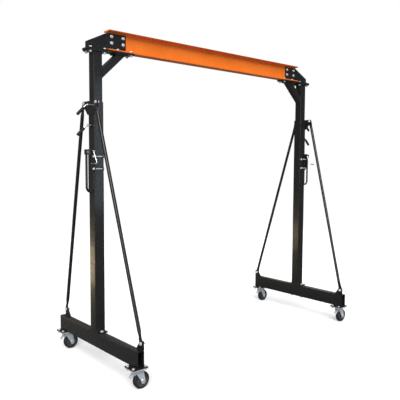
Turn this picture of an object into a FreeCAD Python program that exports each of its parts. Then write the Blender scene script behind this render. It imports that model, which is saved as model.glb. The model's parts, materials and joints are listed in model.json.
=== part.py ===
import FreeCAD, Part

import math
import os
import re

import Sketcher

# Portable gantry crane, in millimetres.
# X runs along the beam, Y along the wheeled bases, Z up.  The origin is on the floor, midway between the legs.
# "left" is -X, "right" is +X, "front" is -Y and "rear" is +Y.  "out" means away from the crane's middle.

SIZES = {
    # overall
    "post_spacing": 2250.0,        # left post centre to right post centre
    "frame_height": 2388.0,        # floor to the top of the beam, fully lowered
    "base_length": 1082.0,
    "post_drop": 504.0,            # top of the beam to the top of the outer post
    # tubes
    "base_width": 50.0,
    "base_depth": 110.0,
    "base_wall": 4.0,
    "post_outer": 76.0,
    "post_wall": 3.0,
    "post_gap": 1.0,               # sliding clearance each side of the inner post
    "inner_wall": 3.0,
    "inner_foot_gap": 34.0,        # inner post's foot above the outer post's foot
    "corner_round": 5.0,
    # beam
    "beam_setback": 90.0,          # beam's end, in from the post's centre
    "beam_depth": 140.0,
    "beam_width": 75.0,
    "web_thick": 6.0,
    "flange_thick": 9.0,
    "root_round": 8.0,
    # beam seat
    "seat_length": 373.0,
    "seat_width": 90.0,
    "seat_thick": 12.0,
    "seat_overhang": 78.0,         # past the post's centre, on the outside
    "cap_thick": 10.0,
    "cap_bolt_clear": 21.0,        # cap bolt's centre, out from the inner post's face
    "cap_edge": 18.0,              # cap bolt's centre to the end of the cap
    "cap_pitch_side": 60.0,        # cap bolts along Y
    "cheek_thick": 6.0,
    "cheek_length": 314.0,
    "cheek_gap": 4.0,              # to the beam's flanges
    "cheek_edge": 42.0,            # height of the cheek's outer end
    "cheek_inset": 5.0,            # cheek's outer end to the seat's outer end
    "web_bolt_row": 95.0,
    "web_bolt_rise": 45.0,
    "web_bolt_inset": 22.0,
    "flange_bolt_side": 56.0,
    "flange_bolt_pitch": 112.0,
    "knee_width": 50.0,
    "knee_wall": 4.0,
    "knee_reach": 189.0,           # post centre to the middle of the knee's top
    "knee_foot": 155.0,            # middle of the knee's foot, below the seat plate
    "knee_plate_length": 106.0,
    "knee_plate_width": 72.0,
    "knee_plate_thick": 10.0,
    # braces
    "brace_dia": 25.0,
    "brace_wall": 2.0,
    "brace_flat": 5.0,             # thickness of the pressed end
    "brace_flat_width": 32.0,
    "brace_flat_length": 38.0,     # bolt centre to the end of the flat
    "brace_taper": 46.0,
    "brace_top_clear": 47.0,       # bolt's centre, from the side of the outer post
    "brace_top_drop": 8.0,         # bolt below the top of the outer post
    "brace_foot_inset": 23.0,      # bolt's distance from the end of the base
    "brace_foot_rise": 42.0,       # bolt above the base tube
    "seat_gap": 0.2,               # between bolted faces
    # plates of a leg
    "collar_thick": 6.0,
    "collar_edge_side": 15.0,      # brace bolt's centre to the end of the ear
    "collar_height": 96.0,
    "collar_rise": 7.0,            # above the top of the outer post
    "collar_edge": 28.0,           # height of the ear's square end
    "collar_foot": 40.0,
    "ear_thick": 5.0,
    "ear_length": 82.0,
    "ear_height": 62.0,
    "ear_head": 36.0,
    "foot_thick": 8.0,
    "foot_bolt_clear": 19.0,       # foot bolt's centre, from the side of the outer post
    "foot_edge": 18.0,             # foot bolt's centre to the end of the foot plate
    # casters
    "pad_length": 104.0,           # caster plates along Y
    "pad_width": 114.0,            # caster plates along X
    "pad_thick": 8.0,
    "top_plate_thick": 6.0,
    "pad_pitch_x": 92.0,
    "pad_pitch_y": 67.0,
    "wheel_dia": 115.0,
    "wheel_width": 32.0,
    "tyre_depth": 15.0,
    "tyre_round": 6.0,
    "hub_dia": 30.0,
    "core_web": 10.0,
    "wheel_trail": 35.0,
    "fork_gap": 3.0,               # beside the tyre
    "fork_wall": 4.0,
    "crown_thick": 5.0,
    "crown_clear": 7.0,            # over the tyre
    "race_dia": 58.0,
    "race_height": 13.0,
    "axle_dia": 10.0,
    "axle_clear": 0.05,
    "pedal_width": 30.0,
    "hinge_dia": 6.0,
    # fasteners
    "bolt_dia": 12.0,
    "small_bolt_dia": 10.0,
    "hole_clear": 0.5,             # radial
    # locking pins
    "pin_dia": 12.0,
    "pin_clear": 0.3,              # radial
    "pin_pitch": 140.0,            # also the pitch of the locking holes
    "pin_drop": 22.0,              # upper pin below the top of the outer post
    "pin_travel": 20.0,
    "pin_reach": 35.0,             # corner of the bend, out from the post's face
    "pin_bend": 16.0,
    "pin_arm": 98.0,
    "grip_dia": 22.0,
    "grip_length": 70.0,
    "bush_dia": 26.0,
    "bush_length": 8.0,            # from the post's face
    # bracket, handle and release lever
    "bracket_drop": 324.0,         # bracket's top below the top of the outer post
    "bracket_height": 302.0,
    "bracket_inset": 2.0,          # from the sides of the post
    "bracket_thick": 6.0,
    "wing_height": 160.0,          # the bracket's front wing
    "wing_edge": 12.0,             # stay bolt's centre to the edge of the wing
    "housing_width": 24.0,
    "housing_height": 36.0,
    "housing_depth": 58.0,
    "housing_drop": 4.0,
    "handle_dia": 16.0,
    "handle_reach": 48.0,          # handle's middle, out from the bracket
    "handle_side": 27.0,
    "handle_drop": 262.0,          # straight end below the bracket's top
    "handle_bend": 34.0,
    "stay_clear": 10.0,            # stay bolt's centre, from the front of the post
    "stay_upper": 52.0,            # below the bracket's top
    "stay_pitch": 85.0,
    "lug_thick": 8.0,
    "lug_height": 20.0,
    "lug_depth": 20.0,
    "lug_inset": 22.0,             # in from the post's centre
    "lever_dia": 9.0,
    "lever_hub_dia": 17.0,
    "lever_hub_length": 14.0,
    "lever_side": 52.0,
    "lever_drop": 15.0,
    "lever_out": 50.0,
    "lever_down": 85.0,
    "lever_foot": 46.0,
    "lever_gap": 0.3,
}

# Sizes that follow from the ones above.
FOLLOWERS = {
    # floor to the underside of the base tube
    "caster_height": "wheel_dia + crown_clear + crown_thick + race_height + top_plate_thick + pad_thick",
    # floor to the top of the outer post
    "post_top": "frame_height - post_drop",
    "beam_length": "post_spacing - 2 * beam_setback",
    "inner_top": "frame_height - beam_depth - seat_thick - cap_thick",
    "inner_length": "inner_top - caster_height - base_depth - foot_thick - inner_foot_gap",
    "bracket_top": "post_top - bracket_drop",
    # pitches that keep bolts beside a post, and the plates that hold them
    "cap_pitch": "post_outer - 2 * post_wall - 2 * post_gap + 2 * cap_bolt_clear",
    "cap_length": "cap_pitch + 2 * cap_edge",
    "foot_pitch": "post_outer + 2 * foot_bolt_clear",
    "foot_length": "foot_pitch + 2 * foot_edge",
    "brace_top_side": "post_outer / 2 + brace_top_clear",
    "collar_span": "2 * (brace_top_side + collar_edge_side)",
    "stay_side": "post_outer / 2 + stay_clear",
}

HOLE_COUNT = 11                    # locking holes in each inner post
SIGN = {"left": -1, "right": 1, "front": -1, "rear": 1}

# Brake pedal: X and Z from its hinge, round the foot tab and the shoe that meets the tyre.
PEDAL_OUTLINE = [(3, 3), (-3, 4), (-30, -24), (-34, -30), (-31, -32), (-27, -27), (-6, -4), (-5, -19), (0, -19),
                 (3, -3)]

# Places that several pieces share, as expressions over the sheet.
BASE_TOP = "(caster_height + base_depth)"
POST_X = "(post_spacing / 2)"
FACE_X = "(post_spacing / 2 + post_outer / 2)"
INNER = "(post_outer - 2 * post_wall - 2 * post_gap)"
BEAM_UNDER = "(frame_height - beam_depth)"
SEAT_UNDER = "(frame_height - beam_depth - seat_thick)"
SEAT_X = "(post_spacing / 2 + seat_overhang - seat_length / 2)"
CHEEK_X = "(post_spacing / 2 + seat_overhang - cheek_inset)"
COLLAR_X = "(post_spacing / 2 + post_outer / 2 + collar_thick)"
BRACKET_X = "(post_spacing / 2 + post_outer / 2 + bracket_thick)"
EAR_X = "(post_spacing / 2 - base_width / 2)"
PAD_Y = "(base_length / 2 - pad_length / 2)"
PAD_UNDER = "(caster_height - pad_thick)"
PLATE_UNDER = "(caster_height - pad_thick - top_plate_thick)"
WHEEL_Z = "(wheel_dia / 2)"
CROWN_Z = "(wheel_dia + crown_clear)"
FORK_Y = "(wheel_width / 2 + fork_gap)"

doc = FreeCAD.newDocument("GantryCrane")
Vector = FreeCAD.Vector
Rotation = FreeCAD.Rotation

sheet = doc.addObject("Spreadsheet::Sheet", "Sizes")
for row, alias in enumerate([*SIZES, *FOLLOWERS], start=1):
    sheet.set(f"A{row}", alias)
    sheet.set(f"B{row}", str(SIZES[alias]) if alias in SIZES else "=" + FOLLOWERS[alias])
    sheet.setAlias(f"B{row}", alias)
doc.recompute()

NODES = {}


def size(text):
    """The value of an expression over the sheet's names, worked out in a spare cell."""
    sheet.set("D1", f"={text}")
    sheet.recompute()
    return float(sheet.get("D1"))


def bind(obj, prop, text):
    """Drive one property with an expression over the sheet's names."""
    def named(match):
        word = match.group(0)
        return "Sizes." + word if word in SIZES or word in FOLLOWERS else word
    obj.setExpression(prop, re.sub(r"[a-z][a-z_]*", named, str(text)))


def place(obj, x, y, z, rotation=None):
    """Turn an object, then bind its position to the sheet."""
    if rotation is not None:
        obj.Placement = FreeCAD.Placement(Vector(), rotation)
    bind(obj, "Placement.Base.x", x)
    bind(obj, "Placement.Base.y", y)
    bind(obj, "Placement.Base.z", z)
    return obj


def block(name, x, y, z, dx, dy, dz):
    """A box centred on x and y, standing on z."""
    made = doc.addObject("Part::Box", name)
    bind(made, "Length", dx)
    bind(made, "Width", dy)
    bind(made, "Height", dz)
    return place(made, f"{x} - ({dx}) / 2", f"{y} - ({dy}) / 2", z)


ALONG = {
    "x": Rotation(Vector(0, 1, 0), 90),
    "-x": Rotation(Vector(0, 1, 0), -90),
    "y": Rotation(Vector(1, 0, 0), -90),
    "-y": Rotation(Vector(1, 0, 0), 90),
    "z": Rotation(),
    "-z": Rotation(Vector(1, 0, 0), 180),
}


def out(sign):
    """The direction away from the crane's middle on one side."""
    return "x" if sign > 0 else "-x"


def rod(name, x, y, z, along, radius, length):
    """A cylinder from a point, along an axis."""
    made = doc.addObject("Part::Cylinder", name)
    bind(made, "Radius", radius)
    bind(made, "Height", length)
    return place(made, x, y, z, ALONG[along])


def fuse(name, parts):
    made = doc.addObject("Part::MultiFuse", name)
    made.Shapes = parts
    return made


def group(name, parts):
    """Separate solids that share one node."""
    made = doc.addObject("Part::Compound", name)
    made.Links = parts
    return made


def cut(name, base, tools):
    made = doc.addObject("Part::Cut", name)
    made.Base = base
    made.Tool = tools[0] if len(tools) == 1 else group(name + "_cutters", tools)
    return made


def rounded(name, base, radius, chosen):
    """Round the edges that chosen() picks."""
    base.recompute(True)
    made = doc.addObject("Part::Fillet", name)
    made.Base = base
    edges = base.Shape.Edges
    amount = size(radius)
    made.Edges = [(i, amount, amount) for i, e in enumerate(edges, start=1) if chosen(e)]
    return made


def runs_along(axis):
    """A test for straight edges along one axis."""
    def test(edge):
        if edge.Curve.TypeId != "Part::GeomLine":
            return False
        return abs(abs(edge.Curve.Direction.dot(axis)) - 1) < 1e-6
    return test


X_EDGES = runs_along(Vector(1, 0, 0))
Y_EDGES = runs_along(Vector(0, 1, 0))
Z_EDGES = runs_along(Vector(0, 0, 1))


def outline(name, plane, points, thick, x="0", y="0", z="0"):
    """A Body padded both ways from a polygon whose corners are bound to the sheet.

    The corners are (first, second) expressions: Y, Z on YZ_Plane and X, Z on XZ_Plane.
    """
    body = doc.addObject("PartDesign::Body", name)
    sketch = body.newObject("Sketcher::SketchObject", name + "_sketch")
    origin_plane = [f for f in body.Origin.OriginFeatures if f.Role == plane][0]
    sketch.AttachmentSupport = [(origin_plane, "")]
    sketch.MapMode = "FlatFace"
    corners = [(size(a), size(b)) for a, b in points]
    count = len(corners)
    for i, (a, b) in enumerate(corners):
        c, d = corners[(i + 1) % count]
        sketch.addGeometry(Part.LineSegment(Vector(a, b, 0), Vector(c, d, 0)), False)
    for i in range(count):
        sketch.addConstraint(Sketcher.Constraint("Coincident", i, 2, (i + 1) % count, 1))
    for i, (a, b) in enumerate(points):
        across = sketch.addConstraint(Sketcher.Constraint("DistanceX", -1, 1, i, 1, corners[i][0]))
        bind(sketch, f"Constraints[{across}]", a)
        upward = sketch.addConstraint(Sketcher.Constraint("DistanceY", -1, 1, i, 1, corners[i][1]))
        bind(sketch, f"Constraints[{upward}]", b)
    pad = body.newObject("PartDesign::Pad", name + "_pad")
    pad.Profile = sketch
    pad.SideType = "Symmetric"
    bind(pad, "Length", thick)
    return place(body, x, y, z)


def round_body(body, name, radius, chosen):
    """Add a PartDesign fillet on the edges of a Body that chosen() picks."""
    body.recompute(True)
    base = body.Tip
    edges = ["Edge%d" % i for i, e in enumerate(base.Shape.Edges, start=1) if chosen(e)]
    fillet = body.newObject("PartDesign::Fillet", name)
    fillet.Base = (base, edges)
    bind(fillet, "Radius", radius)
    return body


def bolt(name, x, y, z, along, grip, dia="bolt_dia", tail="0"):
    """A hex bolt and its nut: the head's seat is at the point and the shank runs along the axis."""
    head = doc.addObject("Part::Prism", name + "_head")
    head.Polygon = 6
    bind(head, "Circumradius", f"0.98 * {dia}")
    bind(head, "Height", f"0.62 * {dia}")
    place(head, "0", "0", f"-0.62 * {dia}")
    shank = doc.addObject("Part::Cylinder", name + "_shank")
    bind(shank, "Radius", f"{dia} / 2")
    bind(shank, "Height", f"{grip} + 0.8 * {dia} + 3 + {tail}")
    nut = doc.addObject("Part::Prism", name + "_nut")
    nut.Polygon = 6
    bind(nut, "Circumradius", f"0.98 * {dia}")
    bind(nut, "Height", f"0.8 * {dia}")
    place(nut, "0", "0", grip)
    return place(fuse(name, [head, shank, nut]), x, y, z, ALONG[along])


def screw(name, x, y, z, along, length, dia="bolt_dia"):
    """A hex screw with no nut, ending flush in a tapped plate."""
    head = doc.addObject("Part::Prism", name + "_head")
    head.Polygon = 6
    bind(head, "Circumradius", f"0.98 * {dia}")
    bind(head, "Height", f"0.62 * {dia}")
    place(head, "0", "0", f"-0.62 * {dia}")
    shank = doc.addObject("Part::Cylinder", name + "_shank")
    bind(shank, "Radius", f"{dia} / 2")
    bind(shank, "Height", length)
    return place(fuse(name, [head, shank]), x, y, z, ALONG[along])


def hole(name, x, y, z, along, length, dia="bolt_dia"):
    """A cutter for a bolt hole."""
    return rod(name, x, y, z, along, f"{dia} / 2 + hole_clear", length)


def keep(node, obj):
    """Name a finished sub-part; the label is its file name."""
    obj.Label = node
    NODES[node] = obj


def rect_tube(name, x, y, z, dx, dy, dz, wall, axis):
    """A rounded rectangular tube, open at both ends, along "y" or "z"."""
    edges = Y_EDGES if axis == "y" else Z_EDGES
    outer = rounded(name + "_outer", block(name + "_bar", x, y, z, dx, dy, dz), "corner_round", edges)
    if axis == "y":
        bore = block(name + "_bore", x, y, f"{z} + {wall}", f"{dx} - 2 * {wall}", f"{dy} + 2",
                     f"{dz} - 2 * {wall}")
    else:
        bore = block(name + "_bore", x, y, f"{z} - 1", f"{dx} - 2 * {wall}", f"{dy} - 2 * {wall}", f"{dz} + 2")
    return cut(name + "_tube", outer, [bore])


# ---------------------------------------------------------------- upper frame

def beam():
    half, web = "beam_width / 2", "web_thick / 2"
    top, foot = "frame_height", BEAM_UNDER
    under, over = "frame_height - flange_thick", f"{BEAM_UNDER} + flange_thick"
    right = [(half, foot), (half, over), (web, over), (web, under), (half, under), (half, top)]
    left = [(f"-({a})", b) for a, b in reversed(right)]
    body = outline("beam_section", "YZ_Plane", right + left, "beam_length")

    def root(edge):
        return X_EDGES(edge) and abs(abs(edge.CenterOfMass.y) - size("web_thick / 2")) < 0.01
    round_body(body, "beam_roots", "root_round", root)
    cutters = []
    for side in ("left", "right"):
        for i, (x, z) in enumerate(web_bolt_places()):
            cutters.append(hole(f"web_hole_{side}_{i}", f"{SIGN[side]} * ({x})", "-20", z, "y", "40"))
        for i, (x, y) in enumerate(flange_bolt_places()):
            cutters.append(hole(f"flange_hole_{side}_{i}", f"{SIGN[side]} * ({x})", y, BEAM_UNDER + " - 1", "z",
                                "flange_thick + 2"))
    keep("i_beam", cut("beam_drilled", body, cutters))


def web_bolt_places():
    """X (outward) and Z of the four bolts through each end of the web."""
    middle = "(frame_height - beam_depth / 2 + 8)"
    first = f"{CHEEK_X} - cheek_length + web_bolt_inset"
    return [(f"{first} + {i} * web_bolt_row", f"{middle} + {j} * web_bolt_rise / 2")
            for i in (0, 1) for j in (-1, 1)]


def flange_bolt_places():
    """X (outward) and Y of the four bolts through each end of the lower flange."""
    first = f"{POST_X} + seat_overhang - seat_length + 20"
    return [(f"{first} + {i} * flange_bolt_pitch", f"{j} * flange_bolt_side / 2") for i in (0, 1) for j in (-1, 1)]


def cap_bolt_places():
    """X (outward) and Y of the four bolts that hold an inner post to its seat plate."""
    return [(f"{POST_X} + {i} * cap_pitch / 2", f"{j} * cap_pitch_side / 2") for i in (-1, 1) for j in (-1, 1)]


def seat_plate(side):
    s = SIGN[side]
    plate = block(f"{side}_seat_bar", f"{s} * {SEAT_X}", "0", SEAT_UNDER, "seat_length", "seat_width", "seat_thick")
    cutters = []
    for i, (x, y) in enumerate(cap_bolt_places() + flange_bolt_places()):
        cutters.append(hole(f"{side}_seat_hole_{i}", f"{s} * ({x})", y, SEAT_UNDER + " - 1", "z", "seat_thick + 2"))
    return cut(f"{side}_seat_drilled", plate, cutters)


def cheek_plates(side):
    """The pair of plates that clasp the beam's web and stand on the seat plate."""
    s = SIGN[side]
    low, high = f"{BEAM_UNDER} + flange_thick + root_round", "frame_height - flange_thick - root_round"
    outer, inner = CHEEK_X, f"{CHEEK_X} - cheek_length"
    beam_end = "beam_length / 2"
    corners = [
        (inner, low), (inner, high), (beam_end, high), (outer, f"{BEAM_UNDER} + cheek_edge"),
        (outer, BEAM_UNDER), (f"{beam_end} + cheek_gap", BEAM_UNDER), (f"{beam_end} + cheek_gap", low),
    ]
    corners = [(f"{s} * ({a})", b) for a, b in corners]
    plates = []
    for t in (-1, 1):
        name = f"{side}_cheek_{'front' if t < 0 else 'rear'}"
        body = outline(name, "XZ_Plane", corners, "cheek_thick", y=f"{t} * (web_thick / 2 + cheek_thick / 2)")
        cutters = [hole(f"{name}_hole_{i}", f"{s} * ({x})", f"{t} * (web_thick / 2 + cheek_thick / 2) - 20", z,
                        "y", "40") for i, (x, z) in enumerate(web_bolt_places())]
        plates.append(cut(name + "_drilled", body, cutters))
    return plates


def knee_brace(side):
    """A square tube at a slant, mitred to the post and to its end plate."""
    s = SIGN[side]
    top = f"{SEAT_UNDER} - knee_plate_thick"
    post_face = f"{POST_X} - {INNER} / 2"
    run = f"({post_face} - {POST_X} + knee_reach)"
    fall = f"(knee_foot - knee_plate_thick)"
    slant = f"sqrt({run} * {run} + {fall} * {fall})"
    foot_z, head_x = f"{SEAT_UNDER} - knee_foot", f"{POST_X} - knee_reach"

    def section(width):
        up, across = f"{width} / 2 * {slant} / {run}", f"{width} / 2 * {slant} / {fall}"
        corners = [(post_face, f"{foot_z} + {up}"), (post_face, f"{foot_z} - {up}"),
                   (f"{head_x} - {across}", top), (f"{head_x} + {across}", top)]
        return [(f"{s} * ({a})", b) for a, b in corners]
    outer = outline(f"{side}_knee_bar", "XZ_Plane", section("knee_width"), "knee_width")
    inner = outline(f"{side}_knee_bore", "XZ_Plane", section("(knee_width - 2 * knee_wall)"),
                    "knee_width - 2 * knee_wall")
    tube = cut(f"{side}_knee_tube", outer, [inner])
    plate = block(f"{side}_knee_plate", f"{s} * ({head_x})", "0", top, "knee_plate_length", "knee_plate_width",
                  "knee_plate_thick")
    x, _ = flange_bolt_places()[-1]
    cutters = [hole(f"{side}_knee_hole_{j}", f"{s} * ({x})", f"{j} * flange_bolt_side / 2", top + " - 1", "z",
                    "knee_plate_thick + 2") for j in (-1, 1)]
    keep(f"{side}_knee_brace", fuse(f"{side}_knee", [tube, cut(f"{side}_knee_plate_drilled", plate, cutters)]))


def inner_post(side):
    """The sliding post with its locking holes, and on it the welded cap that bolts to the seat plate."""
    s = SIGN[side]
    top = "inner_top"
    tube = rect_tube(f"{side}_inner", f"{s} * {POST_X}", "0", f"{top} - inner_length", INNER, INNER, "inner_length",
                     "inner_wall", "z")
    holes = [rod(f"{side}_lock_hole_{i}", f"{s} * {POST_X} - post_outer", "0",
                 f"post_top - pin_drop - {i} * pin_pitch", "x", "pin_dia / 2 + pin_clear", "2 * post_outer")
             for i in range(HOLE_COUNT)]
    cap = block(f"{side}_cap", f"{s} * {POST_X}", "0", top, "cap_length", "seat_width", "cap_thick")
    cutters = [hole(f"{side}_cap_hole_{i}", f"{s} * ({x})", y, top + " - 1", "z", "cap_thick + 2")
               for i, (x, y) in enumerate(cap_bolt_places())]
    keep(f"{side}_inner_post", group(f"{side}_inner_set", [cut(f"{side}_inner_drilled", tube, holes),
                                                           cut(f"{side}_cap_drilled", cap, cutters)]))


def upper_bolts(side):
    s = SIGN[side]
    clasp = "web_thick / 2 + cheek_thick"
    bolts = [bolt(f"{side}_web_bolt_{i}", f"{s} * ({x})", f"-({clasp})", z, "y", f"2 * ({clasp})")
             for i, (x, z) in enumerate(web_bolt_places())]
    for i, (x, y) in enumerate(flange_bolt_places()):
        name, seat = f"{side}_flange_bolt_{i}", f"{BEAM_UNDER} + flange_thick"
        if i < 2:
            made = bolt(name, f"{s} * ({x})", y, seat, "-z", "flange_thick + seat_thick")
        else:
            made = screw(name, f"{s} * ({x})", y, seat, "-z", "flange_thick + seat_thick + knee_plate_thick")
        bolts.append(made)
    for i, (x, y) in enumerate(cap_bolt_places()):
        bolts.append(bolt(f"{side}_cap_bolt_{i}", f"{s} * ({x})", y, BEAM_UNDER, "-z", "seat_thick + cap_thick"))
    return bolts


# ---------------------------------------------------------------- legs

def base_tube(side):
    s = SIGN[side]
    tube = rect_tube(f"{side}_base", f"{s} * {POST_X}", "0", "caster_height", "base_width", "base_length",
                     "base_depth", "base_wall", "y")
    cutters = [hole(f"{side}_base_hole_{t}", f"{s} * {POST_X}", f"{t} * foot_pitch / 2", "caster_height - 1", "z",
                    "base_depth + 2") for t in (-1, 1)]
    keep(f"{side}_base_tube", cut(f"{side}_base_drilled", tube, cutters))


def pad_bolt_places(t):
    """X (from the post's centre) and Y of the four bolts of one caster."""
    return [(f"{i} * pad_pitch_x / 2", f"{t} * {PAD_Y} + {j} * pad_pitch_y / 2") for i in (-1, 1) for j in (-1, 1)]


def base_plates(side):
    """Welded plates: two caster pads, the post's foot and two brace ears."""
    s = SIGN[side]
    plates = []
    for end in ("front", "rear"):
        t = SIGN[end]
        pad = block(f"{side}_{end}_pad", f"{s} * {POST_X}", f"{t} * {PAD_Y}", PAD_UNDER, "pad_width", "pad_length",
                    "pad_thick")
        cutters = [hole(f"{side}_{end}_pad_hole_{i}", f"{s} * {POST_X} + {x}", y, PAD_UNDER + " - 1", "z",
                        "pad_thick + 2", "small_bolt_dia") for i, (x, y) in enumerate(pad_bolt_places(t))]
        plates.append(cut(f"{side}_{end}_pad_drilled", pad, cutters))

        tip, root = "base_length / 2", "base_length / 2 - ear_length"
        corners = [(root, BASE_TOP), (tip, BASE_TOP), (tip, f"{BASE_TOP} + ear_height"),
                   (f"{tip} - ear_head", f"{BASE_TOP} + ear_height")]
        corners = [(f"{t} * ({a})", b) for a, b in corners]
        ear = outline(f"{side}_{end}_ear", "YZ_Plane", corners, "ear_thick", x=f"{s} * ({EAR_X} + ear_thick / 2)")
        drill = hole(f"{side}_{end}_ear_hole", f"{s} * ({EAR_X}) - 20", f"{t} * (base_length / 2 - brace_foot_inset)",
                     f"{BASE_TOP} + brace_foot_rise", "x", "40")
        plates.append(cut(f"{side}_{end}_ear_drilled", ear, [drill]))
    foot = block(f"{side}_foot", f"{s} * {POST_X}", "0", BASE_TOP, "post_outer", "foot_length", "foot_thick")
    cutters = [hole(f"{side}_foot_hole_{t}", f"{s} * {POST_X}", f"{t} * foot_pitch / 2", BASE_TOP + " - 1", "z",
                    "foot_thick + 2") for t in (-1, 1)]
    plates.append(cut(f"{side}_foot_drilled", foot, cutters))
    keep(f"{side}_base_plates", group(f"{side}_base_weldments", plates))


def pin_height(level):
    """Z of a locking pin's axis."""
    return "post_top - pin_drop" + (" - pin_pitch" if level == "lower" else "")


def outer_post(side):
    """The fixed post, bored for both locking pins."""
    s = SIGN[side]
    foot = f"{BASE_TOP} + foot_thick"
    tube = rect_tube(f"{side}_post", f"{s} * {POST_X}", "0", foot, "post_outer", "post_outer",
                     f"post_top - ({foot})", "post_wall", "z")
    cutters = [rod(f"{side}_{level}_pin_bore", f"{s} * ({POST_X} + 10)", "0", pin_height(level), out(s),
                   "pin_dia / 2 + pin_clear", "post_outer") for level in ("upper", "lower")]
    keep(f"{side}_outer_post", cut(f"{side}_post_bored", tube, cutters))


def collar_plate(side):
    """Shield-shaped plate on the post's outer face, whose ears carry the side braces, and the pins' bushes."""
    s = SIGN[side]
    top = "post_top + collar_rise"
    half = [("collar_span / 2", top), ("collar_span / 2", f"{top} - collar_edge"),
            ("collar_foot", f"{top} - collar_height")]
    corners = half + [(f"-({a})", b) for a, b in reversed(half)]
    body = outline(f"{side}_collar", "YZ_Plane", corners, "collar_thick", x=f"{s} * ({FACE_X} + collar_thick / 2)")

    def foot(edge):
        return X_EDGES(edge) and edge.CenterOfMass.z < size("post_top - collar_height / 2")
    round_body(body, f"{side}_collar_round", "collar_foot / 2", foot)
    upper = rod(f"{side}_upper_bush", f"{s} * ({COLLAR_X} - 1)", "0", pin_height("upper"), out(s), "bush_dia / 2",
                "bush_length - collar_thick + 1")
    lower = rod(f"{side}_lower_bush", f"{s} * {FACE_X}", "0", pin_height("lower"), out(s), "bush_dia / 2",
                "bush_length")
    cutters = [hole(f"{side}_collar_hole_{t}", f"{s} * {FACE_X} - 20", f"{t} * brace_top_side",
                    "post_top - brace_top_drop", "x", "40") for t in (-1, 1)]
    bores = [rod(f"{side}_{level}_bush_bore", f"{s} * ({FACE_X} - 5)", "0", pin_height(level), out(s),
                 "pin_dia / 2 + pin_clear", "40") for level in ("upper", "lower")]
    plate = cut(f"{side}_collar_drilled", fuse(f"{side}_collar_bushed", [body, upper]), cutters + bores[:1])
    keep(f"{side}_collar_plate", group(f"{side}_collar_set", [plate, cut(f"{side}_lower_bush_bored", lower,
                                                                         bores[1:])]))


def side_brace(side, end):
    """A round tube whose pressed ends are bolted to the collar's ear and to the base's ear."""
    s, t = SIGN[side], SIGN[end]
    flat = size("brace_flat")
    top = Vector(s * (size(COLLAR_X) + size("seat_gap") + flat / 2), t * size("brace_top_side"),
                 size("post_top - brace_top_drop"))
    low = Vector(s * (size(EAR_X) + size("ear_thick + seat_gap") + flat / 2),
                 t * size("base_length / 2 - brace_foot_inset"), size(f"{BASE_TOP} + brace_foot_rise"))
    down = Vector(0, low.y - top.y, low.z - top.z).normalize()
    x_axis = Vector(1, 0, 0)
    flat_length, taper, radius = size("brace_flat_length"), size("brace_taper"), size("brace_dia / 2")
    half_wide = size("brace_flat_width / 2")
    tube_top = top + down * (flat_length + taper)
    tube_low = low - down * (flat_length + taper)
    run = tube_low - tube_top

    def pressed_end(bolt_point, inward, tube_end):
        """The flat with its round end, and the loft that grows into the tube."""
        side_way = x_axis.cross(inward)
        face = Part.Face(Part.Wire([
            Part.LineSegment(bolt_point + inward * flat_length - side_way * half_wide,
                             bolt_point - side_way * half_wide).toShape(),
            Part.Arc(bolt_point - side_way * half_wide, bolt_point - inward * half_wide,
                     bolt_point + side_way * half_wide).toShape(),
            Part.LineSegment(bolt_point + side_way * half_wide,
                             bolt_point + inward * flat_length + side_way * half_wide).toShape(),
            Part.LineSegment(bolt_point + inward * flat_length + side_way * half_wide,
                             bolt_point + inward * flat_length - side_way * half_wide).toShape()]))
        face.translate(x_axis * (-flat / 2))
        tongue = face.extrude(x_axis * flat)
        start = Part.Ellipse(bolt_point + inward * flat_length + side_way * half_wide,
                             bolt_point + inward * flat_length + x_axis * flat / 2,
                             bolt_point + inward * flat_length)
        middle = bolt_point + inward * (flat_length + taper / 2)
        middle.x = (bolt_point.x + tube_end.x) / 2
        half = Part.Ellipse(middle + side_way * (half_wide + radius) / 2, middle + x_axis * (flat / 2 + radius) / 2,
                            middle)
        finish = Part.Circle(tube_end, inward, radius)
        loft = Part.makeLoft([Part.Wire([c.toShape()]) for c in (start, half, finish)], True)
        return tongue, loft

    tongue_top, loft_top = pressed_end(top, down, tube_top)
    tongue_low, loft_low = pressed_end(low, down * -1, tube_low)
    ring = Part.Face(Part.Wire([Part.Circle(tube_top, down, radius).toShape()]))
    bar = ring.extrude(run)
    shape = bar.multiFuse([loft_top, loft_low, tongue_top, tongue_low])
    bore = Part.Face(Part.Wire([Part.Circle(tube_top, down, radius - size("brace_wall")).toShape()])).extrude(run)
    drain = Part.makeCylinder(3, 2 * radius, tube_low - down * 20, x_axis * -s)
    shape = shape.cut(bore.fuse(drain))
    for point in (top, low):
        shape = shape.cut(Part.makeCylinder(size("bolt_dia / 2 + hole_clear"), 4 * flat,
                                            point - x_axis * 2 * flat, x_axis))
    made = doc.addObject("Part::Feature", f"{side}_{end}_brace_shape")
    made.Shape = shape.removeSplitter()
    keep(f"{side}_{end}_brace", made)


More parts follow.
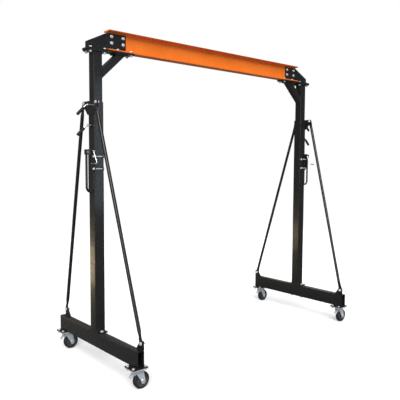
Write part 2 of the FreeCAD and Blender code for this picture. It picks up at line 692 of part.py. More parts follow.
def leg_bolts(side):
    """All the fasteners of one leg: foot, caster, brace and stay bolts with their nuts."""
    s = SIGN[side]
    bolts = []
    for t in (-1, 1):
        bolts.append(bolt(f"{side}_foot_bolt_{t}", f"{s} * {POST_X}", f"{t} * foot_pitch / 2",
                          f"{BASE_TOP} + foot_thick", "-z", "foot_thick + base_depth"))
        for i, (x, y) in enumerate(pad_bolt_places(t)):
            bolts.append(bolt(f"{side}_pad_bolt_{t}_{i}", f"{s} * {POST_X} + {x}", y, "caster_height", "-z",
                              "pad_thick + top_plate_thick", "small_bolt_dia"))
        grip = "collar_thick + seat_gap + brace_flat"
        bolts.append(bolt(f"{side}_brace_top_bolt_{t}", f"{s} * ({FACE_X} + {grip})", f"{t} * brace_top_side",
                          "post_top - brace_top_drop", out(-s), grip))
        grip = "ear_thick + seat_gap + brace_flat"
        bolts.append(bolt(f"{side}_brace_foot_bolt_{t}", f"{s} * ({EAR_X} + {grip})",
                          f"{t} * (base_length / 2 - brace_foot_inset)", f"{BASE_TOP} + brace_foot_rise",
                          out(-s), grip, tail="8"))
    for i in (0, 1):
        grip = "post_outer / 2 + bracket_thick + lug_inset + lug_thick / 2"
        bolts.append(bolt(f"{side}_stay_bolt_{i}", f"{s} * ({POST_X} - lug_inset - lug_thick / 2)", "-stay_side",
                          stay_height(i), out(s), grip, "small_bolt_dia"))
    keep(f"{side}_leg_bolts", group(f"{side}_leg_bolt_set", bolts))


def stay_height(i):
    """Z of the stay bolts that tie the bracket's front wing to the lugs on the post."""
    return f"bracket_top - stay_upper - {i} * stay_pitch"


def latch_bracket(side):
    """The plate welded to the post's outer face: a front wing for the stay bolts, and the handle's housing."""
    s = SIGN[side]
    half, wing = "(post_outer / 2 - bracket_inset)", "(stay_side + wing_edge)"
    foot_z = "bracket_top - bracket_height"
    corners = [(half, "bracket_top"), (half, foot_z), (f"-{half}", foot_z), (f"-{half}", "bracket_top - wing_height"),
               (f"-{wing}", f"bracket_top - wing_height + {wing} - {half}"), (f"-{wing}", "bracket_top")]
    body = outline(f"{side}_bracket", "YZ_Plane", corners, "bracket_thick", x=f"{s} * ({FACE_X} + bracket_thick / 2)")

    def foot(edge):
        return X_EDGES(edge) and edge.CenterOfMass.z < size(foot_z + " + 1")
    round_body(body, f"{side}_bracket_round", "post_outer / 3", foot)
    housing = block(f"{side}_housing_box", f"{s} * ({BRACKET_X} + housing_depth / 2)", "-handle_side",
                    "bracket_top - housing_drop - housing_height", "housing_depth", "housing_width",
                    "housing_height")
    housing = rounded(f"{side}_housing", housing, "corner_round", Y_EDGES)
    cutters = [hole(f"{side}_bracket_hole_{i}", f"{s} * {FACE_X} - 20", "-stay_side", stay_height(i), "x", "40",
                    "small_bolt_dia") for i in (0, 1)]
    keep(f"{side}_latch_bracket", cut(f"{side}_bracket_drilled", fuse(f"{side}_bracket_set", [body, housing]),
                                      cutters))


def grab_handle(side):
    """A round bar hanging from the housing, with its lower end bent back to the bracket."""
    s = SIGN[side]
    x_out, x_plate = s * size(f"{BRACKET_X} + handle_reach"), s * size(BRACKET_X)
    y = -size("handle_side")
    top = size("bracket_top - housing_drop - housing_height")
    low, bend = size("bracket_top - handle_drop"), size("handle_bend")
    corner = Vector(x_out, y, low)
    turn = math.sqrt(0.5)
    mid = Vector(x_out - s * bend * (1 - turn), y, low - bend * turn)
    end = Vector(x_out - s * bend, y, low - bend)
    path = Part.Wire([Part.LineSegment(Vector(x_out, y, top), corner).toShape(), Part.Arc(corner, mid, end).toShape(),
                      Part.LineSegment(end, Vector(x_plate, y, low - bend)).toShape()])
    ring = Part.Wire([Part.Circle(Vector(x_out, y, top), Vector(0, 0, 1), size("handle_dia / 2")).toShape()])
    made = doc.addObject("Part::Feature", f"{side}_handle_shape")
    made.Shape = path.makePipeShell([ring], True, False)
    keep(f"{side}_grab_handle", made)


def bolt_lugs(side):
    """Two lugs welded to the post's front, where the stay bolts' heads sit."""
    s = SIGN[side]
    lugs = []
    for i in (0, 1):
        middle = f"{s} * ({POST_X} - lug_inset)"
        lug = block(f"{side}_lug_{i}", middle, "-(post_outer + lug_depth) / 2", f"{stay_height(i)} - lug_height / 2",
                    "lug_thick", "lug_depth", "lug_height")
        drill = hole(f"{side}_lug_hole_{i}", f"{middle} - 20", "-stay_side", stay_height(i), "x", "40",
                     "small_bolt_dia")
        lugs.append(cut(f"{side}_lug_drilled_{i}", lug, [drill]))
    keep(f"{side}_bolt_lugs", group(f"{side}_lug_pair", lugs))


def bent_rod(points, bend, radius):
    """A round bar through straight runs joined by tangent arcs of one radius."""
    edges = []
    start = points[0]
    for before, corner, after in zip(points, points[1:], points[2:]):
        a, b = (before - corner).normalize(), (after - corner).normalize()
        half_angle = a.getAngle(b) / 2
        reach = bend / math.tan(half_angle)
        centre = corner + (a + b).normalize() * (bend / math.sin(half_angle))
        p, q = corner + a * reach, corner + b * reach
        middle = centre + (corner - centre).normalize() * bend
        edges.append(Part.LineSegment(start, p).toShape())
        edges.append(Part.Arc(p, middle, q).toShape())
        start = q
    edges.append(Part.LineSegment(start, points[-1]).toShape())
    ring = Part.Wire([Part.Circle(points[0], points[1] - points[0], radius).toShape()])
    return Part.Wire(edges).makePipeShell([ring], True, False)


def release_lever(side):
    """A bent chrome lever on the housing's front side, turning about X."""
    s = SIGN[side]
    y, z = -size("lever_side"), size("bracket_top - lever_drop")
    plate_x = s * size(f"{BRACKET_X} + lever_gap")
    arm_x = plate_x + s * size("lever_hub_length / 2")
    elbow = Vector(arm_x, y - size("lever_out"), z - size("lever_down"))
    hub = Part.makeCylinder(size("lever_hub_dia / 2"), size("lever_hub_length"), Vector(plate_x, y, z),
                            Vector(s, 0, 0))
    arm = bent_rod([Vector(arm_x, y, z), elbow, elbow + Vector(s * size("lever_foot"), 0, 0)],
                   size("lever_dia"), size("lever_dia / 2"))
    made = doc.addObject("Part::Feature", f"{side}_lever_shape")
    made.Shape = hub.fuse(arm)
    keep(f"{side}_release_lever", made)


def locking_pin(side, level):
    """A plunger pin with a bent arm, and the ribbed grip on the arm; drawn clear of the inner post."""
    s = SIGN[side]
    z = size(pin_height(level))
    tip_x = size(f"{POST_X} + {INNER} / 2 + 0.5")
    corner = Vector(s * size(f"{FACE_X} + pin_reach"), 0, z)
    slope = Vector(s, 0, -1).normalize()
    end = corner + slope * size("pin_arm")
    radius = size("pin_dia / 2")
    shape = bent_rod([Vector(s * tip_x, 0, z), corner, end], size("pin_bend"), radius)
    pin = doc.addObject("Part::Feature", f"{side}_{level}_pin_shape")
    pin.Shape = shape
    keep(f"{side}_{level}_pin", pin)

    grip_end = end + slope * 2
    start = grip_end - slope * size("grip_length")
    sleeve = Part.makeCylinder(size("grip_dia / 2"), size("grip_length"), start, slope)
    bore = Part.makeCylinder(radius, size("grip_length") - 2, start, slope)
    grip = doc.addObject("Part::Feature", f"{side}_{level}_grip_shape")
    grip.Shape = sleeve.cut(bore)
    keep(f"{side}_{level}_pin_grip", grip)


# ---------------------------------------------------------------- casters

def caster_plates(side):
    """The bolted top plates of both casters of a leg."""
    s = SIGN[side]
    plates = []
    for end in ("front", "rear"):
        t = SIGN[end]
        name = f"{side}_{end}_top_plate"
        plate = block(name, f"{s} * {POST_X}", f"{t} * {PAD_Y}", PLATE_UNDER, "pad_width", "pad_length",
                      "top_plate_thick")
        cutters = [hole(f"{name}_hole_{i}", f"{s} * {POST_X} + {x}", y, PLATE_UNDER + " - 1", "z",
                        "top_plate_thick + 2", "small_bolt_dia") for i, (x, y) in enumerate(pad_bolt_places(t))]
        plates.append(cut(name + "_drilled", plate, cutters))
    keep(f"{side}_caster_plates", group(f"{side}_caster_plate_pair", plates))


def caster(side, end):
    """Fork, axle, wheel core, tyre and brake pedal; the wheel trails towards +X."""
    s, t = SIGN[side], SIGN[end]
    name = f"{side}_{end}"
    x0, y0 = f"{s} * {POST_X}", f"{t} * {PAD_Y}"
    axle_x = f"{x0} + wheel_trail"
    crown_top = f"({CROWN_Z} + crown_thick)"

    crown = block(f"{name}_crown", f"{x0} + wheel_trail / 2 - race_dia / 6", y0, CROWN_Z, "wheel_trail + race_dia / 2",
                  f"2 * ({FORK_Y} + fork_wall)", "crown_thick")
    race = rod(f"{name}_race", x0, y0, crown_top + " - 1", "z", "race_dia / 2",
               f"{PLATE_UNDER} - seat_gap - {crown_top} + 1")
    back, front = f"{x0} - race_dia * 5 / 12", f"{x0} + wheel_trail + race_dia / 12"
    corners = [(back, crown_top), (front, crown_top), (f"{axle_x} + 21", f"{WHEEL_Z} - 8"),
               (f"{axle_x} + 13", f"{WHEEL_Z} - 23"), (f"{axle_x} - 5", f"{WHEEL_Z} - 23"),
               (f"{axle_x} - 15", f"{WHEEL_Z} + 4"), (f"{x0} - 11", f"{CROWN_Z} - 15"), (back, f"{CROWN_Z} - 13")]
    legs = [outline(f"{name}_fork_leg_{j}", "XZ_Plane", corners, "fork_wall",
                    y=f"{y0} + {j} * ({FORK_Y} + fork_wall / 2)") for j in (-1, 1)]
    hinge_x, hinge_z = f"{x0} - 18", f"({CROWN_Z} - 5)"
    bores = [rod(f"{name}_axle_bore", axle_x, f"{y0} - 60", WHEEL_Z, "y", "axle_dia / 2 + axle_clear", "120"),
             rod(f"{name}_hinge_bore", hinge_x, f"{y0} - 60", hinge_z, "y", "hinge_dia / 2 + pin_clear", "120")]
    keep(f"{name}_fork", cut(f"{name}_fork_bored", fuse(f"{name}_fork_blank", [crown, race] + legs), bores))

    outer_y = f"({FORK_Y} + fork_wall)"
    axle = bolt(f"{name}_axle_bolt", axle_x, f"{y0} - {outer_y} - seat_gap", WHEEL_Z, "y",
                f"2 * {outer_y} + 2 * seat_gap", "axle_dia")
    keep(f"{name}_axle", axle)

    core_radius = "(wheel_dia / 2 - tyre_depth)"
    core_bar = rod(f"{name}_core_bar", axle_x, f"{y0} - wheel_width / 2 + 1", WHEEL_Z, "y", core_radius,
                   "wheel_width - 2")
    dishes = []
    for j in (-1, 1):
        dish = rod(f"{name}_dish_{j}", axle_x, f"{y0} + {j} * (core_web / 2)", WHEEL_Z, "y" if j > 0 else "-y",
                   f"{core_radius} - 5", "wheel_width")
        boss = rod(f"{name}_boss_{j}", axle_x, f"{y0} + {j} * (core_web / 2 - 1)", WHEEL_Z, "y" if j > 0 else "-y",
                   "hub_dia / 2", "wheel_width + 2")
        dishes.append(cut(f"{name}_dish_ring_{j}", dish, [boss]))
    core_bore = rod(f"{name}_core_bore", axle_x, f"{y0} - 60", WHEEL_Z, "y", "axle_dia / 2 + axle_clear", "120")
    keep(f"{name}_wheel", cut(f"{name}_core", core_bar, dishes + [core_bore]))

    tread = rod(f"{name}_tread", axle_x, f"{y0} - wheel_width / 2", WHEEL_Z, "y", "wheel_dia / 2", "wheel_width")

    def rim(edge):
        return edge.Curve.TypeId == "Part::GeomCircle"
    tread = rounded(f"{name}_tread_round", tread, "tyre_round", rim)
    seat = rod(f"{name}_tyre_seat", axle_x, f"{y0} - wheel_width", WHEEL_Z, "y", core_radius, "2 * wheel_width")
    keep(f"{name}_tyre", cut(f"{name}_tyre_ring", tread, [seat]))

    pedal = outline(f"{name}_pedal_plate", "XZ_Plane",
                    [(f"{hinge_x} + {a}", f"{hinge_z} + {b}") for a, b in PEDAL_OUTLINE], "pedal_width", y=y0)
    hinge = rod(f"{name}_hinge_pin", hinge_x, f"{y0} - {outer_y} - 1", hinge_z, "y", "hinge_dia / 2",
                f"2 * {outer_y} + 2")
    keep(f"{name}_brake_pedal", fuse(f"{name}_pedal", [pedal, hinge]))


# ---------------------------------------------------------------- assembly

beam()
keep("seat_plates", group("seat_plate_pair", [seat_plate("left"), seat_plate("right")]))
keep("web_plates", group("web_plate_set", cheek_plates("left") + cheek_plates("right")))
keep("upper_bolts", group("upper_bolt_set", upper_bolts("left") + upper_bolts("right")))
for side in ("left", "right"):
    knee_brace(side)
    inner_post(side)
    base_tube(side)
    base_plates(side)
    outer_post(side)
    collar_plate(side)
    leg_bolts(side)
    latch_bracket(side)
    grab_handle(side)
    bolt_lugs(side)
    release_lever(side)
    caster_plates(side)
    for level in ("upper", "lower"):
        locking_pin(side, level)
    for end in ("front", "rear"):
        side_brace(side, end)
        caster(side, end)

sheet.clear("D1")
doc.recompute()

for obj in doc.Objects:
    bad = [state for state in obj.State if state in ("Invalid", "Error")]
    if bad:
        raise RuntimeError(f"{obj.Name} failed to build: {bad}")
for node, obj in NODES.items():
    if obj.Shape.isNull() or not obj.Shape.isValid() or not obj.Shape.Solids:
        raise RuntimeError(f"{node} has no valid solid")

os.makedirs("parts", exist_ok=True)
for node, obj in NODES.items():
    obj.Shape.exportStep(f"parts/{node}.step")
print(len(NODES), "sub-parts written")
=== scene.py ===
import json
import math

import bmesh
import bpy
from mathutils import Matrix, Vector

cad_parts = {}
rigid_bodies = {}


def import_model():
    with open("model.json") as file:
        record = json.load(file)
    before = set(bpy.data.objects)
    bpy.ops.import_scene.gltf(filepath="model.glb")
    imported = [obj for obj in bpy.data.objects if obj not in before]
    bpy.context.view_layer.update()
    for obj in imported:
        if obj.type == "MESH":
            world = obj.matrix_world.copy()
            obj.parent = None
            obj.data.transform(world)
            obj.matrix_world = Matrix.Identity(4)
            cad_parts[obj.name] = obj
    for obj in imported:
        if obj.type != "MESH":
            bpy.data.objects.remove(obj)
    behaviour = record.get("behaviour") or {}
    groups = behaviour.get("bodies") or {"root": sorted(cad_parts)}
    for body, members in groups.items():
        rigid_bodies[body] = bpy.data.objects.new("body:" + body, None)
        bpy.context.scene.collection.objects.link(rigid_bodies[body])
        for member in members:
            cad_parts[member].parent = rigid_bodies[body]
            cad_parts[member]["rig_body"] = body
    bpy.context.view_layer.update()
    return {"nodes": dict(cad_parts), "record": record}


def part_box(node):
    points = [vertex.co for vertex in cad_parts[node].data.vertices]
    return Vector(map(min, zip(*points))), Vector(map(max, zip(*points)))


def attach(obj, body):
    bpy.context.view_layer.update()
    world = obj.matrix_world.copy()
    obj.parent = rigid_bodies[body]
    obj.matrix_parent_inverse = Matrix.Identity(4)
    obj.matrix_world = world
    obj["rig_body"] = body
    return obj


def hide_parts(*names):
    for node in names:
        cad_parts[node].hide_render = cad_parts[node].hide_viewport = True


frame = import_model()
NODES = frame["nodes"]
SLOT_OF = {entry["node"]: entry["material_slot"] for entry in frame["record"]["subparts"]}
SIDES = {"left": -1, "right": 1}
ENDS = ("front", "rear")
MM = 0.001
ALONG_Y = Vector((0, 1, 0))
UP = Vector((0, 0, 1))

# how far each kind of edge is rounded
ROLLED_EDGE = 1.2 * MM
CUT_EDGE = 0.9 * MM
FORK_EDGE = 0.7 * MM
FINE_EDGE = 0.6 * MM

# bolts: the CAD draws a head's corners at this share of the thread's diameter from the axis
HEAD_CORNER = 0.98
THREAD_PITCH = 1.75 * MM
HEXAGON_POINTS = 48
WASHER_POINTS = 40
SHANK_POINTS = 20

# welds
BEAD_POINTS = 10
BEAD_RADIUS = 2.4 * MM
STEPS_PER_RIPPLE = 3.5

# the colour sockets of a Mix node, which share their names with its other data types
MIX_A, MIX_B, MIX_RESULT = 6, 7, 2

# the camera, fitted to the photograph
CAMERA_PLACE = (-2.9644, -3.2249, 1.4652)
CAMERA_YAW, CAMERA_DIP, CAMERA_ROLL = 49.02, 4.05, 0.295
CAMERA_LENS = 46.72


# ---------------------------------------------------------------- materials

class Look:
    """One procedural material, built on its Principled shader."""

    def __init__(self, name, metallic=0.0, coat=0.0, coat_roughness=0.1, specular=0.5):
        self.material = bpy.data.materials.new(name)
        self.material.use_nodes = True
        self.tree = self.material.node_tree
        self.shader = self.tree.nodes["Principled BSDF"]
        self.shader.inputs["Metallic"].default_value = metallic
        self.shader.inputs["Coat Weight"].default_value = coat
        self.shader.inputs["Coat Roughness"].default_value = coat_roughness
        self.shader.inputs["Specular IOR Level"].default_value = specular
        self.place = self.tree.nodes.new("ShaderNodeTexCoord").outputs["Object"]
        self.normal = None

    def noise(self, scale, detail=3.0, stretch=(1, 1, 1)):
        """Noise from 0 to 1 over real metres, stretched where the finish has a grain."""
        mapping = self.tree.nodes.new("ShaderNodeMapping")
        mapping.inputs["Scale"].default_value = stretch
        texture = self.tree.nodes.new("ShaderNodeTexNoise")
        texture.inputs["Scale"].default_value = scale
        texture.inputs["Detail"].default_value = detail
        self.tree.links.new(self.place, mapping.inputs["Vector"])
        self.tree.links.new(mapping.outputs["Vector"], texture.inputs["Vector"])
        return texture.outputs["Fac"]

    def spread(self, value, low, high, start=0.35, stop=0.65):
        """Stretch part of a 0 to 1 signal to a new range."""
        node = self.tree.nodes.new("ShaderNodeMapRange")
        limits = {"From Min": start, "From Max": stop, "To Min": low, "To Max": high}
        for socket, amount in limits.items():
            node.inputs[socket].default_value = amount
        self.tree.links.new(value, node.inputs["Value"])
        return node.outputs["Result"]

    def maths(self, operation, *values):
        """One Math node over linked values."""
        node = self.tree.nodes.new("ShaderNodeMath")
        node.operation = operation
        for socket, value in zip(node.inputs, values):
            self.tree.links.new(value, socket)
        return node.outputs["Value"]

    def colour(self, value, stops):
        """Colour from a ramp of (position, colour) stops."""
        ramp = self.tree.nodes.new("ShaderNodeValToRGB")
        elements = ramp.color_ramp.elements
        for element, (position, shade) in zip(elements, (stops[0], stops[-1])):
            element.position = position
            element.color = (*shade, 1)
        for position, shade in stops[1:-1]:
            elements.new(position).color = (*shade, 1)
        self.tree.links.new(value, ramp.inputs["Fac"])
        self.tree.links.new(ramp.outputs["Color"], self.shader.inputs["Base Color"])

    def mottle(self, scale, detail, dark, light):
        """Colour that drifts between two shades."""
        self.colour(self.noise(scale, detail), [(0.3, dark), (0.7, light)])

    def tint(self, mask, shade):
        """Turn the colour towards a shade where the mask is 1."""
        socket = self.shader.inputs["Base Color"]
        mix = self.tree.nodes.new("ShaderNodeMix")
        mix.data_type = "RGBA"
        self.tree.links.new(mask, mix.inputs["Factor"])
        self.tree.links.new(socket.links[0].from_socket, mix.inputs[MIX_A])
        mix.inputs[MIX_B].default_value = (*shade, 1)
        self.tree.links.new(mix.outputs[MIX_RESULT], socket)

    def roughness(self, value, low, high):
        """Roughness that drifts between two values."""
        self.tree.links.new(self.spread(value, low, high), self.shader.inputs["Roughness"])

    def bump(self, value, depth, strength):
        """Relief of a given depth in metres, on top of any relief already there."""
        node = self.tree.nodes.new("ShaderNodeBump")
        node.inputs["Strength"].default_value = strength
        node.inputs["Distance"].default_value = depth
        self.tree.links.new(value, node.inputs["Height"])
        if self.normal:
            self.tree.links.new(self.normal, node.inputs["Normal"])
        self.normal = node.outputs["Normal"]
        self.tree.links.new(self.normal, self.shader.inputs["Normal"])


def powder_coat():
    look = Look("gloss_black_powder_coat", coat=0.25, coat_roughness=0.10, specular=0.4)
    look.mottle(7, 5, (0.0055, 0.0055, 0.006), (0.0095, 0.0095, 0.0105))
    look.roughness(look.noise(55, 4), 0.26, 0.42)
    look.bump(look.noise(420, 2), 0.00008, 0.3)
    look.bump(look.noise(28, 2), 0.0006, 0.12)
    return look.material


def orange_enamel():
    look = Look("orange_enamel", coat=0.08, coat_roughness=0.2, specular=0.3)
    look.colour(look.noise(5, 6), [(0.3, (0.76, 0.166, 0.011)),
                                   (0.52, (0.83, 0.188, 0.015)),
                                   (0.7, (0.86, 0.205, 0.020))])
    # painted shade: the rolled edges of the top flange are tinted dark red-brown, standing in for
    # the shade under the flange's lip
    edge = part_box("i_beam")[1]
    axes = look.tree.nodes.new("ShaderNodeSeparateXYZ")
    look.tree.links.new(look.place, axes.inputs["Vector"])
    rim = look.spread(look.maths("ABSOLUTE", axes.outputs["Y"]), 0, 1,
                      edge.y - 1.6 * MM, edge.y - 0.6 * MM)
    upper = look.spread(axes.outputs["Z"], 0, 0.85, edge.z - 12 * MM, edge.z - 9 * MM)
    look.tint(look.maths("MULTIPLY", rim, upper), (0.26, 0.030, 0.005))
    look.roughness(look.noise(40, 5), 0.34, 0.52)
    look.bump(look.noise(380, 2), 0.00014, 0.4)
    look.bump(look.noise(18, 3, (0.25, 1, 1)), 0.0009, 0.18)
    return look.material


def zinc_plate(name, dark, light, metallic):
    look = Look(name, metallic=metallic)
    look.mottle(90, 4, dark, light)
    look.roughness(look.noise(160, 3), 0.22, 0.38)
    look.bump(look.noise(900, 2), 0.00005, 0.3)
    return look.material


def polished_chrome():
    look = Look("polished_chrome", metallic=1.0)
    look.mottle(60, 3, (0.70, 0.71, 0.73), (0.82, 0.83, 0.85))
    look.roughness(look.noise(240, 4), 0.06, 0.16)
    look.bump(look.noise(1200, 2), 0.00002, 0.25)
    return look.material


def soft_black(name, dark, light, rough, grain, depth):
    look = Look(name, specular=0.35)
    look.mottle(45, 5, dark, light)
    look.roughness(look.noise(130, 3), *rough)
    look.bump(look.noise(grain, 3), depth, 0.6)
    return look.material


def cast_core():
    look = Look("cast_wheel_core", metallic=0.4, coat=0.1)
    look.mottle(80, 5, (0.060, 0.060, 0.064), (0.105, 0.105, 0.112))
    look.roughness(look.noise(150, 3), 0.38, 0.6)
    look.bump(look.noise(700, 3), 0.0002, 0.5)
    return look.material


MATERIALS = {
    "black_paint": powder_coat(),
    "orange_paint": orange_enamel(),
    "zinc": zinc_plate("zinc_bolts", (0.66, 0.66, 0.65), (0.86, 0.87, 0.88), 0.5),
    "bright_zinc": zinc_plate("bright_zinc_pressing",
                              (0.56, 0.61, 0.67), (0.76, 0.81, 0.87), 0.45),
    "chrome": polished_chrome(),
    "grip_rubber": soft_black("ribbed_grip_rubber", (0.012, 0.012, 0.012),
                              (0.022, 0.022, 0.023), (0.5, 0.7), 900, 0.0002),
    "tyre": soft_black("solid_tyre_rubber", (0.009, 0.010, 0.011),
                       (0.019, 0.020, 0.022), (0.55, 0.8), 500, 0.0003),
    "wheel_core": cast_core(),
}


# ---------------------------------------------------------------- building pieces

def finish_piece(mesh, name, body, slot, replaced=()):
    """Give a mesh the material of its slot, and its body."""
    mesh.materials.clear()
    mesh.materials.append(MATERIALS[slot])
    piece = bpy.data.objects.new(name, mesh)
    bpy.context.scene.collection.objects.link(piece)
    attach(piece, body)
    if replaced:
        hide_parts(*replaced)
    return piece


def from_bmesh(bm, name, body, slot, replaced=(), sharp=35):
    """Turn a bmesh into a smooth-shaded piece with crisp edges past an angle in degrees."""
    bmesh.ops.recalc_face_normals(bm, faces=bm.faces)
    mesh = bpy.data.meshes.new(name)
    bm.to_mesh(mesh)
    bm.free()
    mesh.polygons.foreach_set("use_smooth", [True] * len(mesh.polygons))
    mesh.set_sharp_from_angle(angle=math.radians(sharp))
    return finish_piece(mesh, name, body, slot, replaced)


def merged(node):
    """A bmesh copy of a CAD node, with the triangles of each solid joined at their corners."""
    data = NODES[node].data
    bm = bmesh.new()
    corners = [bm.verts.new(v.co) for v in data.vertices]
    for polygon in data.polygons:
        bm.faces.new([corners[i] for i in polygon.vertices])
    bmesh.ops.remove_doubles(bm, verts=bm.verts, dist=1e-6)
    return bm


def soften(node, width):
    """Stand a copy of a CAD node in its place, with its sharp edges rounded."""
    bm = merged(node)
    bmesh.ops.dissolve_limit(bm, angle_limit=math.radians(0.5), verts=bm.verts, edges=bm.edges)
    body = NODES[node]["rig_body"]
    piece = from_bmesh(bm, node + "_rounded", body, SLOT_OF[node], [node])
    bevel = piece.modifiers.new("edge_round", "BEVEL")
    bevel.width = width
    bevel.segments = 2
    bevel.limit_method = "ANGLE"
    bevel.angle_limit = math.radians(40)
    bevel.harden_normals = True
    bevel.use_clamp_overlap = True


def box_pair(points):
    """The lowest and highest corners of the box round some points."""
    return (Vector([min(p[i] for p in points) for i in range(3)]),
            Vector([max(p[i] for p in points) for i in range(3)]))


def across(direction):
    """Two unit vectors square to a direction."""
    direction = direction.normalized()
    first = direction.cross(UP)
    if first.length < 0.1:
        first = direction.cross(ALONG_Y)
    first.normalize()
    return first, direction.cross(first).normalized()


def skin(bm, rings, bored=False):
    """Join rings of points, all of one length, into a closed surface.

    The two ends are capped, or joined to each other through the bore.
    """
    loops = [[bm.verts.new(p) for p in ring] for ring in rings]
    count = len(loops[0])
    following = loops[1:] + loops[:1] if bored else loops[1:]
    for low, high in zip(loops, following):
        for i in range(count):
            j = (i + 1) % count
            bm.faces.new((low[i], low[j], high[j], high[i]))
    if not bored:
        bm.faces.new(list(reversed(loops[0])))
        bm.faces.new(loops[-1])


def revolve(bm, start, direction, profile, count, bored=False):
    """A turned form: the profile is a list of (distance along the axis, radius)."""
    direction = direction.normalized()
    u, v = across(direction)
    rings = []
    for along, radius in profile:
        middle = start + direction * along
        rings.append([middle + (u * math.cos(a) + v * math.sin(a)) * radius
                      for a in (2 * math.pi * i / count for i in range(count))])
    skin(bm, rings, bored)


def washer(bm, start, direction, inner, outer, thick):
    """A ring with broken edges."""
    edge = thick * 0.25
    profile = [(0, inner), (0, outer - edge), (edge, outer),
               (thick - edge, outer), (thick, outer - edge), (thick, inner)]
    revolve(bm, start, direction, profile, WASHER_POINTS, bored=True)


def hexagon(bm, start, direction, corner, height, both_ends=False):
    """A hexagon with the turned chamfer of a bolt head, or of a nut when it has both ends."""
    direction = direction.normalized()
    u, v = across(direction)
    flat = corner * math.cos(math.pi / 6)
    face = flat * 0.96
    slope = math.tan(math.radians(30))
    angles = [2 * math.pi * i / HEXAGON_POINTS for i in range(HEXAGON_POINTS)]

    def reach(angle):
        return flat / math.cos((angle + math.pi / 6) % (math.pi / 3) - math.pi / 6)

    def chamfer(angle):
        return (reach(angle) - face) * slope

    def ring(radius_at, along_at):
        return [start + direction * along_at(a)
                + (u * math.cos(a) + v * math.sin(a)) * radius_at(a) for a in angles]

    rings = []
    if both_ends:
        rings.append(ring(lambda a: face, lambda a: 0))
        rings.append(ring(reach, chamfer))
    else:
        rings.append(ring(reach, lambda a: 0))
    rings.append(ring(reach, lambda a: height - chamfer(a)))
    rings.append(ring(lambda a: face, lambda a: height))
    skin(bm, rings)


def thread(bm, start, direction, radius, length):
    """A threaded bolt end, as close-set rings with a chamfered tip."""
    turns = max(2, int(length / THREAD_PITCH))
    step = length / turns
    profile = []
    for i in range(turns):
        profile += [(i * step, radius * 0.90), (i * step + step * 0.45, radius)]
    profile += [(length - step * 0.3, radius * 0.95), (length, radius * 0.78)]
    revolve(bm, start, direction, profile, SHANK_POINTS)


def islands(node):
    """The points of each separate solid in a CAD node."""
    bm = merged(node)
    found, seen = [], set()
    for vert in bm.verts:
        if vert in seen:
            continue
        stack, points = [vert], []
        seen.add(vert)
        while stack:
            current = stack.pop()
            points.append(current.co.copy())
            for edge in current.link_edges:
                other = edge.other_vert(current)
                if other not in seen:
                    seen.add(other)
                    stack.append(other)
        found.append(points)
    bm.free()
    return found


def detailed_bolt(bm, points):
    """Rebuild one bolt where its CAD solid is: head, washers, nut and thread."""
    low, high = box_pair(points)
    size = high - low
    k = max(range(3), key=lambda i: size[i])
    middle = (low + high) / 2
    axis = Vector([1.0 if i == k else 0.0 for i in range(3)])

    def radial(p):
        offset = p - middle
        return (offset - axis * offset.dot(axis)).length

    def at(level):
        return middle + axis * (level - middle[k])

    # the levels of the hexagons' faces, from the head's top to the nut's end
    corner = max(radial(p) for p in points)
    levels = sorted({round(p[k], 5) for p in points if radial(p) > 0.97 * corner})
    head_low = abs(levels[0] - low[k]) < 1e-4
    if not head_low:
        levels.reverse()
    forward = axis if head_low else -axis
    tip = high[k] if head_low else low[k]
    has_nut = len(levels) > 2

    dia = corner / HEAD_CORNER
    plate = 0.16 * dia
    hole, rim, wrench = dia * 0.45, corner * 0.98, corner * 0.92
    seat = at(levels[1])
    head_height = abs(levels[1] - levels[0])
    hexagon(bm, seat - forward * plate * 0.5, -forward, wrench, head_height - plate * 0.5)
    washer(bm, seat, -forward, hole, rim, plate)
    if has_nut:
        nut = at(levels[2])
        nut_height = abs(levels[3] - levels[2])
        washer(bm, nut, forward, hole, rim, plate)
        hexagon(bm, nut + forward * plate * 0.5, forward, wrench, nut_height - plate * 0.5, True)
        thread(bm, nut, forward, dia / 2, abs(tip - levels[2]))
    shank_end = levels[2] if has_nut else tip
    shank = dia * 0.48
    revolve(bm, seat, forward, [(0, shank), (abs(shank_end - levels[1]), shank)], SHANK_POINTS)


def bolts(node):
    """All the bolts of a CAD node, as one piece."""
    bm = bmesh.new()
    for points in islands(node):
        detailed_bolt(bm, points)
    from_bmesh(bm, node + "_detailed", NODES[node]["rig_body"], SLOT_OF[node], [node], 30)


def bead(bm, a, b, radius=BEAD_RADIUS):
    """A rippled fillet weld from one point to another."""
    run = b - a
    length = run.length
    steps = max(6, int(length / (radius * 0.45)))
    direction = run.normalized()
    u, v = across(direction)
    angles = [2 * math.pi * j / BEAD_POINTS for j in range(BEAD_POINTS)]
    rings = []
    for i in range(steps + 1):
        t = i / steps
        wave = i * 2 * math.pi / STEPS_PER_RIPPLE
        end = min(1.0, min(t, 1 - t) * length / (radius * 1.2) + 0.25)
        swell = radius * math.sqrt(end) * (0.93 + 0.09 * math.cos(wave))
        lean = math.sin(wave) * radius * 0.1
        middle = a + run * t
        rings.append([middle + direction * lean * math.cos(c)
                      + (u * math.cos(c) + v * math.sin(c)) * swell for c in angles])
    skin(bm, rings)


# ---------------------------------------------------------------- the crane's pieces

def weld_square(bm, low, high, z):
    """Beads round a square foot."""
    corners = [Vector((low.x, low.y, z)), Vector((high.x, low.y, z)),
               Vector((high.x, high.y, z)), Vector((low.x, high.y, z))]
    for a, b in zip(corners, corners[1:] + corners[:1]):
        inset = (b - a).normalized() * 3 * MM
        bead(bm, a + inset, b - inset)


